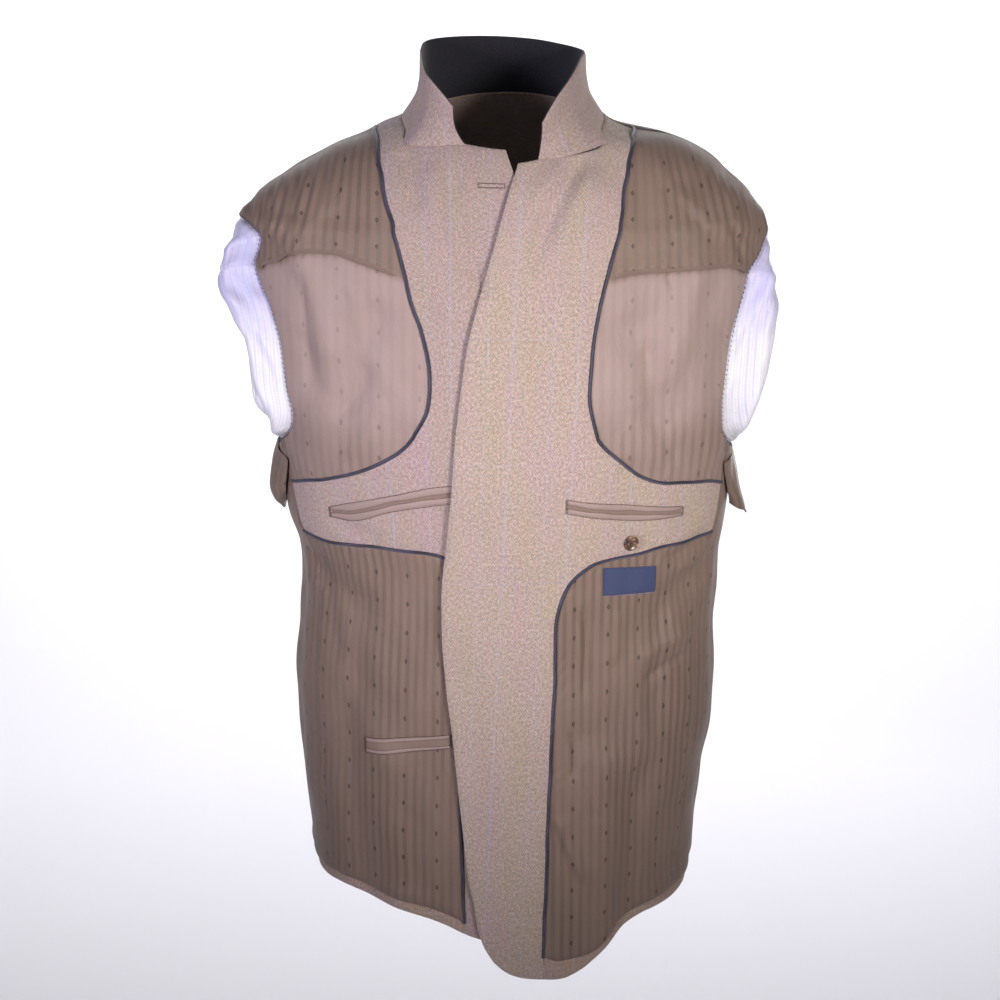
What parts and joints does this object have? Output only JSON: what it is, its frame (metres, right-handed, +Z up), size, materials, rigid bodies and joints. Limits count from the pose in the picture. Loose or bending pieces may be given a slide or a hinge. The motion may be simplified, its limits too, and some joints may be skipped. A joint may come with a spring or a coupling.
{
  "type": "sport coat",
  "caption": "Sport coat worn inside out: lined body with wool facings, piped seams and jetted pockets outwards, collar up and sleeves hanging inside.",
  "frame": {"origin": "midway between the two neck points of the shoulder seams, where the wearer holds the coat up", "axes": "+Z up along the body, +Y from the front to the back, +X to the right of the front view"},
  "size_m": [0.5313, 0.3035, 0.8898],
  "materials": {
    "wool": "light heathered wool twill with a faint windowpane",
    "lining": "satin herringbone jacquard lining with small diamonds",
    "sleeve_lining": "white satin with pale blue stripes",
    "piping": "blue-violet satin piping",
    "felt": "matt near-black undercollar felt",
    "label": "bare woven label",
    "horn": "brown horn-like button"
  },
  "bodies": {
    "root": {"back_lining_left": "lining", "back_lining_right": "lining", "chest_lining_left": "lining", "chest_lining_right": "lining", "chest_piping_left": "piping", "chest_piping_right": "piping", "chest_pleat_left": "lining", "chest_pleat_right": "lining", "facing_left": "wool", "facing_right": "wool", "inner_button": "horn", "inner_pocket_left_lower_jet": "lining", "inner_pocket_left_upper_jet": "lining", "inner_pocket_right_lower_jet": "lining", "inner_pocket_right_upper_jet": "lining", "label": "label", "low_pocket_left_lower_jet": "lining", "low_pocket_left_upper_jet": "lining", "lower_lining_left": "lining", "lower_lining_right": "lining", "lower_piping_left": "piping", "lower_piping_right": "piping", "shell_back_left": "wool", "shell_back_right": "wool", "shell_front_left": "wool", "shell_front_right": "wool", "shell_side_left": "wool", "shell_side_right": "wool", "side_lining_left": "lining", "side_lining_right": "lining", "sleeve_left": "wool", "sleeve_lining_left": "sleeve_lining", "sleeve_lining_right": "sleeve_lining", "sleeve_right": "wool", "top_collar": "wool", "underarm_shield_left": "lining", "underarm_shield_right": "lining", "undercollar": "felt"}
  },
  "joints": []
}
